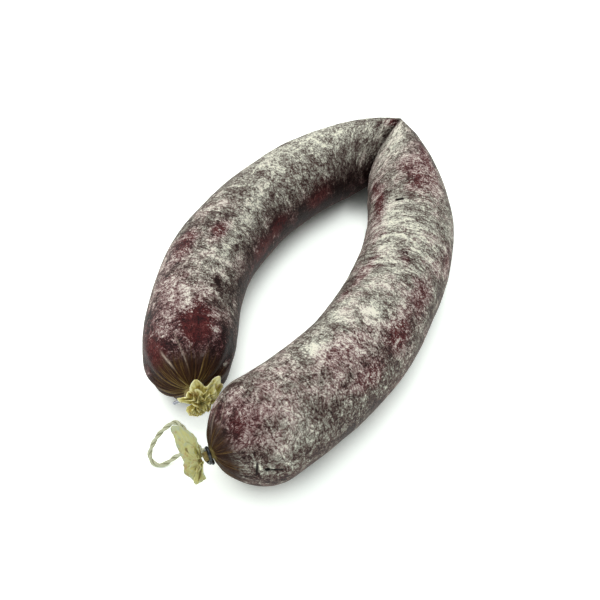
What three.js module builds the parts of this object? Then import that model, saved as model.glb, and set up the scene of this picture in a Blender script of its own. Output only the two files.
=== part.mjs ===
// Salamella: a cured sausage folded sharply in the middle, so that its two arms lie side by side as a loop.
// Both ends are gathered to a neck, closed by a wire clip and finished by a tail of crumpled casing.
// A loop of cotton twine hangs from the right clip.
// Millimetres, +Z up. The fold points to +Y and the tied ends to -Y. The sausage lies on the plane z = 0.

import * as THREE from 'three';

// Centre of the fold in plan, which puts the middle of the whole object over the origin
const FOLD_X = 1.5;
const FOLD_Y = 106.9;

// Each arm leaves the fold on its heading, runs straight, then bends evenly by its turn up to the neck.
// The pinch is the run over which the fold's narrow section swells to the full arm.
// The cap is the run that rounds off to the neck. The higher its power, the later it narrows.
// Its bluntness is 1 for an end like a cone and 0.5 for a round one.
// The lift is how far the neck lies above the arm's axis, and the pleat run is the length of its gathers.
const ARMS = {
  left: {
    heading: -126.6, straight: 25.5, turn: 75.4, length: 205, midRadius: 19, endRadius: 19.1,
    pinch: 17, cap: 43, power: 3.6, bluntness: 0.53, lift: 1.8, pleatRun: 27, outerSide: 1,
  },
  right: {
    heading: -63.5, straight: 46.5, turn: -60.6, length: 223.3, midRadius: 19.2, endRadius: 20.5,
    pinch: 22, cap: 20.3, power: 1.72, bluntness: 0.57, lift: 2.2, pleatRun: 14, outerSide: -1,
  },
};

// Section at the fold, measured across the arm: towards the outer tip, towards the crease, and up.
// The tip widens to the full arm over its own run, slowly at first.
const FOLD_OUTER = 3.6;
const FOLD_OUTER_RUN = 26;
const FOLD_OUTER_POWER = 1.3;
const FOLD_INNER = 16;
const FOLD_HALF_HEIGHT = 14;
const FOLD_AXIS_HEIGHT = 18.2;
const FOLD_TILT_RUN = 52;

// Groove where the two arms press against each other at the fold.
// It fades in round the section, between two places that count from -1 outside to 1 inside.
const CREASE_DEPTH = 2.4;
const CREASE_RUN = 3;
const CREASE_FROM = -0.4;
const CREASE_FULL = 0.1;

// How far the underside is pressed flat where the sausage lies
const PRESSED = 0.7;

// Unevenness of the filling and of the gathered ends
const LUMP = 0.4;
const LUMP_RUN = 31;
const PLEATS = 12;
const PLEAT_DEPTH = 0.13;

// Gathered neck, clip wire, casing and twine
const NECK_RADIUS = 1.5;
const NECK_LENGTH = 3.4;
const GAP = 0.3;
const WIRE = 1.3;
const WIRE_PITCH = 1.5;
const WIRE_TURNS = 1.15;
const WIRE_START = -75;
const LEFT_LEG = 9;
const RIGHT_LEG = 3;
const CASING = 0.8;
const TWINE = 1.9;

// Facets; the rings of a cap crowd together towards its neck
const AROUND = 48;
const RING_STEP = 5.8;
const CAP_RINGS = 9;
const CAP_CROWDING = 2.2;
const ROUND_SIDES = 8;
const COIL_POINTS = 14;
const CLIP_STEPS = 36;
const TWINE_STEPS = 28;

const degrees = THREE.MathUtils.degToRad;
const clamp = THREE.MathUtils.clamp;
const lerp = THREE.MathUtils.lerp;
const smoothstep = THREE.MathUtils.smoothstep;

// Point and direction of an arm's axis at a distance s from the fold; a negative s runs on past the fold
function axisAt(arm, s) {
  const start = degrees(arm.heading);
  const arcRadius = (arm.length - arm.straight) / degrees(arm.turn);
  const onLine = Math.min(s, arm.straight);
  const heading = start + Math.max(s - arm.straight, 0) / arcRadius;
  return {
    x: FOLD_X + onLine * Math.cos(start) + arcRadius * (Math.sin(heading) - Math.sin(start)),
    y: FOLD_Y + onLine * Math.sin(start) - arcRadius * (Math.cos(heading) - Math.cos(start)),
    heading,
  };
}

// A point past an arm's cap, with the directions along the neck, towards the inside of the loop, and up
function neckFrame(arm, past) {
  const { x, y, heading } = axisAt(arm, arm.length + past);
  const height = arm.endRadius - PRESSED + arm.lift;
  return {
    centre: new THREE.Vector3(x, y, height),
    along: new THREE.Vector3(Math.cos(heading), Math.sin(heading), 0),
    inward: new THREE.Vector3(-Math.sin(heading), Math.cos(heading), 0).multiplyScalar(arm.outerSide),
    up: new THREE.Vector3(0, 0, 1),
  };
}

// Slow swellings along an arm and around it
function lump(arm, station, angle) {
  const along = station / LUMP_RUN;
  const wave = Math.sin(along + 2 * angle) + Math.sin(1.7 * along - angle + arm.outerSide);
  return LUMP * 0.5 * (wave + Math.sin(3.1 * along + 3 * angle));
}

// Folds of casing that run together at a neck
function pleat(angle) {
  return PLEAT_DEPTH * (0.65 * Math.cos(PLEATS * angle) + 0.35 * Math.cos(5 * angle + 1));
}

// A point of the skin. The station counts along the arm from the fold's mitre plane.
// The angle counts from the arm's outer side over its top.
function skinPoint(arm, station, angle) {
  const shoulder = arm.length - arm.cap;
  const full = lerp(arm.midRadius, arm.endRadius, clamp(station / shoulder, 0, 1));
  const pinched = Math.exp(-station / arm.pinch);
  const tapered = Math.exp(-((station / FOLD_OUTER_RUN) ** FOLD_OUTER_POWER));
  const gathered = clamp((station - shoulder) / arm.cap, 0, 1);
  const pleated = clamp(1 - (arm.length - station) / arm.pleatRun, 0, 1);

  const foldSide = Math.cos(angle) > 0 ? lerp(full, FOLD_OUTER, tapered) : lerp(full, FOLD_INNER, pinched);
  const relief = 1 + pleated ** 2 * pleat(angle);
  const swelling = lump(arm, station, angle) * (1 - pinched);
  const inside = smoothstep(-Math.cos(angle), CREASE_FROM, CREASE_FULL);
  const groove = CREASE_DEPTH * Math.exp(-station / CREASE_RUN) * inside;
  const filled = swelling - groove - NECK_RADIUS;
  const cap = (1 - gathered ** arm.power) ** arm.bluntness;
  const toNeck = (radius) => NECK_RADIUS + (radius + filled) * cap;
  const across = toNeck(foldSide) * relief * Math.cos(angle);
  const upward = toNeck(lerp(full, FOLD_HALF_HEIGHT, pinched)) * relief * Math.sin(angle);

  // Near the fold each ring leans over until the last one lies in the mitre plane that both arms share
  const mitre = degrees((ARMS.right.heading - ARMS.left.heading) / 2);
  const lean = (1 - clamp(station / FOLD_TILT_RUN, 0, 1)) / Math.tan(mitre);
  const { x, y, heading } = axisAt(arm, station - across * lean);
  const axisHeight = lerp(full - PRESSED, FOLD_AXIS_HEIGHT, pinched) + arm.lift * gathered ** 2;
  return new THREE.Vector3(
    x + across * arm.outerSide * Math.sin(heading),
    y - across * arm.outerSide * Math.cos(heading),
    Math.max(axisHeight + upward, 0),
  );
}

// Ring stations of an arm from just past the fold to the end of its neck
function stations(arm) {
  const shoulder = arm.length - arm.cap;
  const count = Math.round(shoulder / RING_STEP);
  const list = [];
  for (let k = 1; k <= count; k += 1) {
    list.push((shoulder * k) / count);
  }
  for (let k = 1; k <= CAP_RINGS; k += 1) {
    list.push(arm.length - arm.cap * (1 - k / CAP_RINGS) ** CAP_CROWDING);
  }
  list.push(arm.length + NECK_LENGTH);
  return list;
}

// Closed surface through rings of equal count, with a centre point at each end
function loft(rings) {
  const count = rings[0].length;
  const centre = (ring) => ring.reduce((sum, p) => sum.add(p), new THREE.Vector3()).divideScalar(count);
  const points = [...rings.flat(), centre(rings[0]), centre(rings.at(-1))];
  const firstPole = points.length - 2;
  const lastPole = points.length - 1;
  const lastRing = (rings.length - 1) * count;
  const faces = [];
  for (let k = 0; k < count; k += 1) {
    const next = (k + 1) % count;
    for (let ring = 0; ring < lastRing; ring += count) {
      faces.push(ring + k, ring + next, ring + count + k);
      faces.push(ring + next, ring + count + next, ring + count + k);
    }
    faces.push(firstPole, next, k);
    faces.push(lastPole, lastRing + k, lastRing + next);
  }
  return solid(points, faces);
}

function solid(points, faces) {
  const geometry = new THREE.BufferGeometry().setFromPoints(points);
  geometry.setIndex(faces);
  geometry.computeVertexNormals();
  return geometry;
}

// The sausage itself: rings from the left neck over the fold to the right neck
function sausageGeometry() {
  const ring = (arm, station) => Array.from(
    { length: AROUND },
    (_, k) => skinPoint(arm, station, (2 * Math.PI * k) / AROUND),
  );
  const left = stations(ARMS.left).reverse().map((station) => ring(ARMS.left, station));
  const right = stations(ARMS.right).map((station) => ring(ARMS.right, station));
  return loft([...left, ring(ARMS.left, 0), ...right]);
}

// Round bar along a smooth curve through points
function barGeometry(points, diameter, steps) {
  const section = new THREE.Shape(Array.from({ length: ROUND_SIDES }, (_, k) => {
    const angle = (2 * Math.PI * k) / ROUND_SIDES;
    return new THREE.Vector2(Math.cos(angle), Math.sin(angle)).multiplyScalar(diameter / 2);
  }));
  const extrudePath = new THREE.CatmullRomCurve3(points);
  return new THREE.ExtrudeGeometry(section, { steps, extrudePath });
}

// Clip: a straight leg that comes in from outside the loop, then a little over one turn round the neck
function clipGeometry(arm, legLength) {
  const { centre, along, inward, up } = neckFrame(arm, NECK_LENGTH / 2);
  const coil = NECK_RADIUS * (1 + PLEAT_DEPTH) + GAP + WIRE / 2;
  const firstAngle = degrees(WIRE_START);
  const startShift = (-WIRE_TURNS * WIRE_PITCH) / 2;
  const place = (sideways, height, shift) => centre.clone()
    .addScaledVector(inward, sideways)
    .addScaledVector(up, height)
    .addScaledVector(along, shift);
  const onLeg = (length) => place(
    coil * Math.cos(firstAngle) + length * Math.sin(firstAngle),
    coil * Math.sin(firstAngle) - length * Math.cos(firstAngle),
    startShift,
  );
  const points = [onLeg(legLength), onLeg(legLength / 2)];
  for (let k = 0; k <= COIL_POINTS; k += 1) {
    const turned = (WIRE_TURNS * k) / COIL_POINTS;
    const angle = firstAngle + 2 * Math.PI * turned;
    points.push(place(coil * Math.cos(angle), coil * Math.sin(angle), startShift + WIRE_PITCH * turned));
  }
  return barGeometry(points, WIRE, CLIP_STEPS);
}

// Wall of even thickness about a curved sheet; sheet(across, out) takes both values from 0 to 1
function wallGeometry(sheet, columns, rows, thickness) {
  const step = 0.01;
  const points = [];
  for (const side of [1, -1]) {
    for (let row = 0; row <= rows; row += 1) {
      for (let column = 0; column <= columns; column += 1) {
        const across = column / columns;
        const out = row / rows;
        const alongAcross = sheet(across + step, out).sub(sheet(across - step, out));
        const alongOut = sheet(across, out + step).sub(sheet(across, out - step));
        const normal = alongAcross.cross(alongOut).normalize();
        points.push(sheet(across, out).addScaledVector(normal, (side * thickness) / 2));
      }
    }
  }
  const width = columns + 1;
  const back = width * (rows + 1);
  const faces = [];
  const quad = (a, b, c, d) => faces.push(a, b, c, a, c, d);
  for (let row = 0; row < rows; row += 1) {
    for (let column = 0; column < columns; column += 1) {
      const corner = row * width + column;
      quad(corner, corner + 1, corner + 1 + width, corner + width);
      quad(back + corner, back + corner + width, back + corner + 1 + width, back + corner + 1);
    }
    const first = row * width;
    const last = first + columns;
    quad(first, first + width, back + first + width, back + first);
    quad(last, back + last, back + last + width, last + width);
  }
  const rim = rows * width;
  for (let column = 0; column < columns; column += 1) {
    quad(column, back + column, back + column + 1, column + 1);
    quad(rim + column, rim + column + 1, back + rim + column + 1, back + rim + column);
  }
  return solid(points, faces);
}

// Tail of casing past a clip: a short stem at the end of the neck, made of the sheet's first row.
// The stem leans to the inside of the loop, or away from it where its lean is below zero.
// From there a ruffled sheet fans out, with its face tilted upwards.
// Its angles count from the inside of the loop upwards, and its reach is a function of the angle.
function tailGeometry(arm, tail) {
  const { centre, along, inward, up } = neckFrame(arm, NECK_LENGTH + GAP + CASING / 2);
  const sheet = (across, out) => {
    const angle = degrees(lerp(tail.from, tail.to, across));
    const stem = clamp(out * tail.rows, 0, 1);
    const fan = Math.max((out * tail.rows - 1) / (tail.rows - 1), 0);
    const spread = NECK_RADIUS + (tail.reach(angle) - NECK_RADIUS) * fan ** tail.opening;
    const rise = spread * Math.sin(angle);
    const depth = tail.depth * fan + tail.ruffle * fan * Math.sin(tail.ruffles * angle + 2 * fan);
    const tilt = degrees(tail.tilt) * stem;
    return centre.clone()
      .addScaledVector(inward, tail.lean * stem + spread * Math.cos(angle))
      .addScaledVector(along, tail.stem * stem + depth * Math.cos(tilt) - rise * Math.sin(tilt))
      .addScaledVector(up, depth * Math.sin(tilt) + rise * Math.cos(tilt));
  };
  return wallGeometry(sheet, tail.columns, tail.rows, CASING);
}

// Height of a rounded lobe of a sheet's edge, one at its middle angle and falling away on both sides
function lobe(angle, middle, width) {
  const away = (angle - degrees(middle)) / degrees(width);
  return Math.exp(-away * away);
}

// Tuft of casing at the left end, nearly all the way round its neck, with one upright ear
const LEFT_TAIL = {
  from: -174, to: 174, tilt: 20, stem: 2.2, lean: 2.3, opening: 1.1, depth: 1.6, ruffle: 0.9, ruffles: 7,
  columns: 60, rows: 8,
  reach: (angle) => 4 + 6.6 * lobe(angle, 38, 25) + 6.4 * lobe(angle, 98, 23) + 4.4 * lobe(angle, 54, 9)
    + 2.8 * lobe(angle, 138, 16) + 4.6 * lobe(angle, 154, 8) + 2.2 * lobe(angle, -135, 28)
    + 1.6 * lobe(angle, -168, 16),
};

// Flat tail of casing at the right end, a fan drawn out towards the left end
const RIGHT_TAIL = {
  from: -176, to: 64, tilt: 28, stem: 0.8, lean: -1, opening: 1, depth: 0.9, ruffle: 0.8, ruffles: 6,
  columns: 42, rows: 9,
  reach: (angle) => 4.6 + 12.8 * lobe(angle, -7, 25) + 4.6 * lobe(angle, -66, 56)
    + 1.6 * lobe(angle, -140, 34) + 1.5 * lobe(angle, -32, 14) + 2.2 * lobe(angle, 27, 17),
};

// Route of the twine from the right clip behind its tail, round a loop on the surface and back to the clip
const TWINE_ROUTE = [
  [7.0, -101.8, 19.2],
  [5.2, -100.6, 17.0],
  [2.2, -98.6, 14.6],
  [-2.0, -96.0, 12.6],
  [-6.4, -93.2, 11.8],
  [-10.1, -91.4, 12.3],
  [-12.6, -91.6, 12.4],
  [-14.1, -92.9, 11.5],
  [-16.0, -95.2, 9.6],
  [-17.3, -97.8, 7.4],
  [-18.0, -100.4, 4.8],
  [-17.8, -102.5, 2.6],
  [-15.9, -104.0, 1.3],
  [-13.4, -104.2, 1.0],
  [-11.5, -103.0, 1.0],
  [-10.0, -101.1, 1.6],
  [-8.5, -99.3, 2.8],
  [-6.7, -98.1, 4.2],
  [-4.1, -97.7, 6.2],
  [-1.0, -98.2, 8.8],
  [2.2, -99.4, 11.4],
  [4.8, -100.6, 14.0],
  [6.6, -101.6, 16.2],
];

function twineGeometry() {
  const points = TWINE_ROUTE.map(([x, y, z]) => new THREE.Vector3(x, y, z));
  return barGeometry(points, TWINE, TWINE_STEPS);
}

function material(color, roughness, metalness) {
  return new THREE.MeshStandardMaterial({ color, roughness, metalness });
}

function piece(name, geometry, look) {
  const mesh = new THREE.Mesh(geometry, look);
  mesh.name = name;
  return mesh;
}

const salamella = new THREE.Group();
salamella.add(
  piece('sausage', sausageGeometry(), material(0x6b4a45, 0.8, 0)),
  piece('casing_tail_left', tailGeometry(ARMS.left, LEFT_TAIL), material(0xb9a765, 0.55, 0)),
  piece('casing_tail_right', tailGeometry(ARMS.right, RIGHT_TAIL), material(0xc4b87c, 0.55, 0)),
  piece('clip_left', clipGeometry(ARMS.left, LEFT_LEG), material(0xa9adb3, 0.35, 1)),
  piece('clip_right', clipGeometry(ARMS.right, RIGHT_LEG), material(0x6f7378, 0.3, 1)),
  piece('twine_loop', twineGeometry(), material(0xd6cfa6, 0.9, 0)),
);

export default salamella;
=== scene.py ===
import math

import bpy
import numpy as np
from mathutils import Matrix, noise


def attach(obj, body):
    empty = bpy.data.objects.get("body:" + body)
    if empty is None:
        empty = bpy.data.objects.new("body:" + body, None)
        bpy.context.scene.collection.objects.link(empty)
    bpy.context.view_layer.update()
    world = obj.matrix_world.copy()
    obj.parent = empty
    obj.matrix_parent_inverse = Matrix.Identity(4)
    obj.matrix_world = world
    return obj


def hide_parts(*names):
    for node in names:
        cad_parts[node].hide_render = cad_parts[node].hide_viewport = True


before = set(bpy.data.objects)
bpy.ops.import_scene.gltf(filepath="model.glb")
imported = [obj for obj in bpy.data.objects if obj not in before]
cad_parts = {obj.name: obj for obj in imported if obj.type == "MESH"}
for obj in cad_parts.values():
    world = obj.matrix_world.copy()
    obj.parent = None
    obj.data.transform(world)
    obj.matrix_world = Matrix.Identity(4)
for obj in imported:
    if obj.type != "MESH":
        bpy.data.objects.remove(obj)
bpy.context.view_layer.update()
print("frame loaded:", ", ".join(sorted(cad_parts)))


# Camera of the photo: looks down at 45 degrees on the tied ends
view = {
    "place": (0.1087, -0.2406, 0.2633),
    "pitch": 45,
    "heading": 25,
    "lens": 49.75,
    "sensor": 36,
}


def makeCamera():
    lens = bpy.data.cameras.new("photoCamera")
    lens.lens = view["lens"]
    lens.sensor_width = view["sensor"]
    camera = bpy.data.objects.new("photoCamera", lens)
    camera.location = view["place"]
    camera.rotation_euler = (math.radians(view["pitch"]), 0, math.radians(view["heading"]))
    bpy.context.scene.collection.objects.link(camera)
    bpy.context.scene.camera = camera


makeCamera()
print("camera placed")


# Small tools for meshes

mm = 0.001
fullTurn = 2 * math.pi
bothSides = ("left", "right")  # the arms as the photo shows them


def unit(vectors):
    return vectors / np.linalg.norm(vectors, axis=-1, keepdims=True)


def smoothStep(low, high, value):
    share = np.clip((value - low) / (high - low), 0, 1)
    return share * share * (3 - 2 * share)


def evenTurn(count):
    return np.linspace(0, fullTurn, count, endpoint=False)


# Angle brought to within half a turn of zero
def wrapped(angle):
    return (angle + math.pi) % fullTurn - math.pi


# Soft noise about zero with bumps of one size; each seed reads another part of it
def noiseOf(places, size, seed=0):
    seedShift = 17.3
    scaled = np.asarray(places).reshape(-1, 3) / size + seedShift * seed
    values = np.array([noise.noise(p) for p in scaled.tolist()])
    return values.reshape(np.shape(places)[:-1])


# Smooth line through given points, in even steps
def smoothRoute(points, step):
    perStretch = 24  # points from one placed point to the next, before they are evened out
    knots = np.array(points, float)
    ends = [2 * knots[0] - knots[1], 2 * knots[-1] - knots[-2]]
    knots = np.vstack([ends[0], knots, ends[1]])
    share = np.linspace(0, 1, perStretch, endpoint=False)[:, None]
    line = []
    for k in range(1, len(knots) - 2):
        a, b, c, d = knots[k - 1:k + 3]
        bend = (2 * a - 5 * b + 4 * c - d) * share ** 2 + (3 * b - 3 * c + d - a) * share ** 3
        line.append(0.5 * (2 * b + (c - a) * share + bend))
    line = np.vstack(line + [knots[-2]])
    run = np.append(0, np.cumsum(np.linalg.norm(np.diff(line, axis=0), axis=1)))
    even = np.linspace(0, run[-1], max(2, round(run[-1] / step)) + 1)
    return np.stack([np.interp(even, run, line[:, k]) for k in range(3)], -1)


# Two directions across a line that turn with it without twisting
def acrossLine(line):
    offLine = (0.31, 0.17, 0.93)  # a direction in which no line here starts
    along = unit(np.gradient(line, axis=0))
    side = np.cross(along[0], offLine)
    sides = []
    for direction in along:
        side = side - direction * (side @ direction)
        side = side / np.linalg.norm(side)
        sides.append(side)
    sides = np.array(sides)
    return sides, np.cross(along, sides)


# What rings hold as one list, then the means of the first and the last ring for the end points
def withEnds(rings):
    flat = rings.reshape(-1, *rings.shape[2:])
    return np.concatenate([flat, [rings[0].mean(0), rings[-1].mean(0)]])


# Rings of points joined to a closed skin; ends are shut by a middle point
def closedRings(rings):
    count, around = rings.shape[:2]
    ring, step = np.meshgrid(np.arange(count - 1), np.arange(around), indexing="ij")
    here, after = ring * around + step, ring * around + (step + 1) % around
    faces = np.stack([here, after, after + around, here + around], -1).reshape(-1, 4).tolist()
    first, last, top = count * around, count * around + 1, (count - 1) * around
    for k in range(around):
        faces.append((first, (k + 1) % around, k))
        faces.append((last, top + k, top + (k + 1) % around))
    return withEnds(rings), faces


def tubeRings(line, radii, sides):
    across, over = acrossLine(line)
    turn = evenTurn(sides)
    circle = across[:, None] * np.cos(turn)[:, None] + over[:, None] * np.sin(turn)[:, None]
    return line[:, None] + circle * np.broadcast_to(radii, len(line))[:, None, None]


# Places on a strand as if it were pulled straight, for its grain
def straightened(run, turn, radius):
    return np.stack(np.broadcast_arrays(run[:, None], radius * np.cos(turn), radius * np.sin(turn)), -1)


def makeMesh(name, points, faces, values=None):
    mesh = bpy.data.meshes.new(name)
    mesh.from_pydata(np.asarray(points).tolist(), [], faces)
    mesh.shade_smooth()
    for key, value in (values or {}).items():
        flat = np.asarray(value, np.float32)
        kind, field = ("FLOAT_VECTOR", "vector") if flat.ndim > 1 else ("FLOAT", "value")
        mesh.attributes.new(key, kind, "POINT").data.foreach_set(field, flat.ravel())
    mesh.update()
    piece = bpy.data.objects.new(name, mesh)
    bpy.context.scene.collection.objects.link(piece)
    return piece


def dress(piece, finish, slotName, *nodes):
    piece.data.materials.append(finish)
    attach(piece, "root")
    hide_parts(*nodes)


# Small tools for materials

def newFinish(name):
    finish = bpy.data.materials.new(name)
    finish.use_nodes = True
    return finish, finish.node_tree, finish.node_tree.nodes["Principled BSDF"]


# Links sockets to a node's inputs and sets plain values on them
def feed(tree, node, inputs):
    for key, value in inputs.items():
        if isinstance(value, bpy.types.NodeSocket):
            tree.links.new(value, node.inputs[key])
        else:
            node.inputs[key].default_value = value


def addNode(tree, kind, inputs, **settings):
    made = tree.nodes.new(kind)
    for key, value in settings.items():
        setattr(made, key, value)
    feed(tree, made, inputs)
    return made


def readValues(tree, *names):
    read = {}
    for name in names:
        read[name] = addNode(tree, "ShaderNodeAttribute", {}, attribute_name=name).outputs["Fac"]
    return read


def readPlace(tree, name):
    return addNode(tree, "ShaderNodeAttribute", {}, attribute_name=name).outputs["Vector"]


def reckon(tree, operation, *values, **more):
    inputs = dict(enumerate(values))
    return addNode(tree, "ShaderNodeMath", inputs, operation=operation, **more).outputs[0]


def oneMinus(tree, value):
    return reckon(tree, "SUBTRACT", 1.0, value)


# Adds up the named parts, each times its weight, from the mean on
def weighted(tree, parts, weights):
    total = weights.get("mean", 0.0)
    for name, weight in weights.items():
        if name != "mean":
            total = reckon(tree, "MULTIPLY_ADD", parts[name], weight, total)
    return total


def between(tree, value, low, high):
    inputs = {"Value": value, "From Min": low, "From Max": high}
    return addNode(tree, "ShaderNodeMapRange", inputs, interpolation_type="SMOOTHSTEP").outputs["Result"]


# Mixes two colours, which are inputs 6 and 7 of the node
def mixColour(tree, share, first, second):
    return addNode(tree, "ShaderNodeMix", {0: share, 6: first, 7: second}, data_type="RGBA").outputs[2]


# Cloudy noise about zero: one size or one along each axis, detail, roughness and twist
def cloud(tree, place, sizes, detail, rough, twist=0.0):
    scale = (1 / np.broadcast_to(sizes, 3)).tolist()
    spread = addNode(tree, "ShaderNodeMapping", {"Vector": place, "Scale": scale}).outputs["Vector"]
    inputs = {"Vector": spread, "Scale": 1.0, "Detail": detail, "Roughness": rough, "Distortion": twist}
    return reckon(tree, "SUBTRACT", addNode(tree, "ShaderNodeTexNoise", inputs).outputs["Fac"], 0.5)


def clouds(tree, place, kinds):
    return {name: cloud(tree, place, *kind) for name, kind in kinds.items()}


# Colours as they look on screen, 0 to 255, brought to linear light by the screen's own curve
def tone(red, green, blue):
    screen = np.array((red, green, blue)) / 255
    linear = np.where(screen > 0.04045, ((screen + 0.055) / 1.055) ** 2.4, screen / 12.92)
    return (*linear.tolist(), 1.0)


def colourRamp(tree, value, stops):
    made = addNode(tree, "ShaderNodeValToRGB", {"Fac": value})
    marks = made.color_ramp.elements
    while len(marks) < len(stops):
        marks.new(0.5)
    for mark, (place, colour) in zip(marks, stops):
        mark.position = place
        mark.color = tone(*colour)
    return made.outputs["Color"]


def bumpOf(tree, height, strength, depth):
    inputs = {"Height": height, "Strength": strength, "Distance": depth}
    return addNode(tree, "ShaderNodeBump", inputs).outputs["Normal"]


# Twine: two plies of cotton from the right clip behind its tail, round a loop on the table and back
twine = {
    "diameter": 0.0019,
    "plyPitch": 0.0085,
    "plyShift": 0.19,  # shift, radius and groove are shares of the diameter
    "plyRadius": 0.31,
    # Painted shade along the groove where the plies meet: full within the first share of the diameter from
    # the middle line, gone at the second
    "groove": (0.24, 0.4),
    "sides": 14,
    "step": 0.00035,
    "fuzz": 0.00006,
    "fuzzSize": 0.0004,
    "fibreWinding": 2.2,
    "fibreRadius": 0.0005,
    "route": [
        (0.0070, -0.1018, 0.0192),
        (0.0052, -0.1006, 0.0170),
        (0.0022, -0.0986, 0.0146),
        (-0.0020, -0.0960, 0.0126),
        (-0.0064, -0.0932, 0.0118),
        (-0.0101, -0.0914, 0.0123),
        (-0.0126, -0.0916, 0.0124),
        (-0.0141, -0.0929, 0.0115),
        (-0.0160, -0.0952, 0.0096),
        (-0.0173, -0.0978, 0.0074),
        (-0.0180, -0.1004, 0.0048),
        (-0.0178, -0.1025, 0.0026),
        (-0.0159, -0.1040, 0.0013),
        (-0.0134, -0.1042, 0.0010),
        (-0.0115, -0.1030, 0.0010),
        (-0.0100, -0.1011, 0.0016),
        (-0.0085, -0.0993, 0.0028),
        (-0.0067, -0.0981, 0.0042),
        (-0.0041, -0.0977, 0.0062),
        (-0.0010, -0.0982, 0.0088),
        (0.0022, -0.0994, 0.0114),
        (0.0048, -0.1006, 0.0140),
        (0.0066, -0.1016, 0.0162),
    ],
    "noise": {"fibres": ((0.004, 0.00012, 0.00012), 3, 0.6), "patches": (0.003, 3, 0.6)},
    # The groove's negative weight is painted shade between the plies
    "shade": {"mean": 0.62, "fibres": 0.9, "patches": 0.5, "groove": -0.5},
    "colours": [(0.0, (92, 90, 62)), (0.45, (172, 173, 140)), (1.0, (222, 223, 200))],
    "bump": (0.6, 0.0001),
    "roughness": 0.9,
    "sheen": 0.25,
}


def cottonFinish():
    finish, tree, surface = newFinish("cotton")
    parts = clouds(tree, readPlace(tree, "plyPlace"), twine["noise"]) | readValues(tree, "groove")
    feed(tree, surface, {
        "Base Color": colourRamp(tree, weighted(tree, parts, twine["shade"]), twine["colours"]),
        "Normal": bumpOf(tree, parts["fibres"], *twine["bump"]),
        "Roughness": twine["roughness"],
        "Sheen Weight": twine["sheen"],
    })
    return finish


def makeTwine():
    line = smoothRoute(twine["route"], twine["step"])
    length = float(np.linalg.norm(np.diff(line, axis=0), axis=1).sum())
    across, over = acrossLine(line)
    run = np.linspace(0, length, len(line))
    points, faces, places, grooves = [], [], [], []
    for start in (0, math.pi):
        phase = (fullTurn * run / twine["plyPitch"] + start)[:, None]
        wound = across * np.cos(phase) + over * np.sin(phase)
        ply = line + wound * twine["diameter"] * twine["plyShift"]
        rings = tubeRings(ply, twine["diameter"] * twine["plyRadius"], twine["sides"])
        rings = rings + noiseOf(rings, twine["fuzzSize"])[..., None] * twine["fuzz"]
        coil = evenTurn(twine["sides"]) - twine["fibreWinding"] * phase  # fibres wind round each ply
        away = np.linalg.norm(rings - line[:, None], axis=-1) / twine["diameter"]
        plyPoints, plyFaces = closedRings(rings)
        faces += [[k + sum(map(len, points)) for k in face] for face in plyFaces]
        points.append(plyPoints)
        places.append(withEnds(straightened(run, coil, twine["fibreRadius"])))
        # Painted shade where the plies meet, near the twine's middle line
        grooves.append(withEnds(1 - smoothStep(*twine["groove"], away)))
    points = np.vstack(points)
    points[:, 2] = np.maximum(points[:, 2], 0)  # lies on the table
    values = {"plyPlace": np.vstack(places), "groove": np.concatenate(grooves)}
    piece = makeMesh("twinePlies", points, faces, values)
    dress(piece, cottonFinish(), "cotton_twine", "twine_loop")
    print(f"twine laid: {length / mm:.1f} mm")


makeTwine()


# The sausage's form. Each arm leaves the fold on its heading, runs straight, then bends up to its neck.
form = {
    "fold": (0.0015, 0.1069),
    "left": {
        "heading": -126.6, "straight": 0.0255, "turn": 75.4, "length": 0.205,
        "midRadius": 0.019, "endRadius": 0.0191, "pinch": 0.017,
        "cap": 0.043, "power": 3.6, "bluntness": 0.53,
        "lift": 0.0018, "pleatRun": 0.027, "outerSide": 1,
    },
    "right": {
        "heading": -63.5, "straight": 0.0465, "turn": -60.6, "length": 0.2233,
        "midRadius": 0.0192, "endRadius": 0.0205, "pinch": 0.022,
        "cap": 0.0203, "power": 1.72, "bluntness": 0.57,
        "lift": 0.0022, "pleatRun": 0.014, "outerSide": -1,
    },
    "foldOuter": 0.0036,
    "foldOuterRun": 0.026,
    "foldOuterPower": 1.3,
    "foldInner": 0.016,
    "foldHalfHeight": 0.014,
    "foldAxisHeight": 0.0182,
    "foldTiltRun": 0.052,
    "creaseDepth": 0.0024,
    "creaseRun": 0.003,
    "creaseFrom": -0.4,
    "creaseFull": 0.1,
    "pressed": 0.0007,
    # Long swellings: (waves along the run, waves round the arm, shift that differs by side)
    "lump": 0.0002,
    "lumpRun": 0.031,
    "lumpWaves": [(1, 2, 0), (1.7, -1, 1), (3.1, 3, 0)],
    # Pleats at the necks: (share, count round the arm, shift)
    "pleatDepth": 0.13,
    "pleatWaves": [(0.65, 12, 0), (0.35, 5, 1)],
    "neckRadius": 0.0015,
    "neckLength": 0.0034,
    "gap": 0.0003,
}


# Point and direction of an arm's axis, counted from the fold
def axisAt(arm, run):
    start = math.radians(arm["heading"])
    arcRadius = (arm["length"] - arm["straight"]) / math.radians(arm["turn"])
    onLine = np.minimum(run, arm["straight"])
    heading = start + np.maximum(run - arm["straight"], 0) / arcRadius
    x = form["fold"][0] + onLine * math.cos(start) + arcRadius * (np.sin(heading) - math.sin(start))
    y = form["fold"][1] + onLine * math.sin(start) - arcRadius * (np.cos(heading) - math.cos(start))
    return x, y, heading


# Middle of a neck past the cap, with its directions along, into the loop, and up
def neckFrame(arm, past):
    x, y, heading = axisAt(arm, arm["length"] + past)
    middle = np.array((x, y, arm["endRadius"] - form["pressed"] + arm["lift"]))
    along = np.array((math.cos(heading), math.sin(heading), 0))
    inward = np.array((-math.sin(heading), math.cos(heading), 0)) * arm["outerSide"]
    return middle, along, inward, np.array((0, 0, 1.0))


# Share of the way round a section to its crease side
def towardsCrease(angle):
    return smoothStep(form["creaseFrom"], form["creaseFull"], -np.cos(angle))


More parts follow.
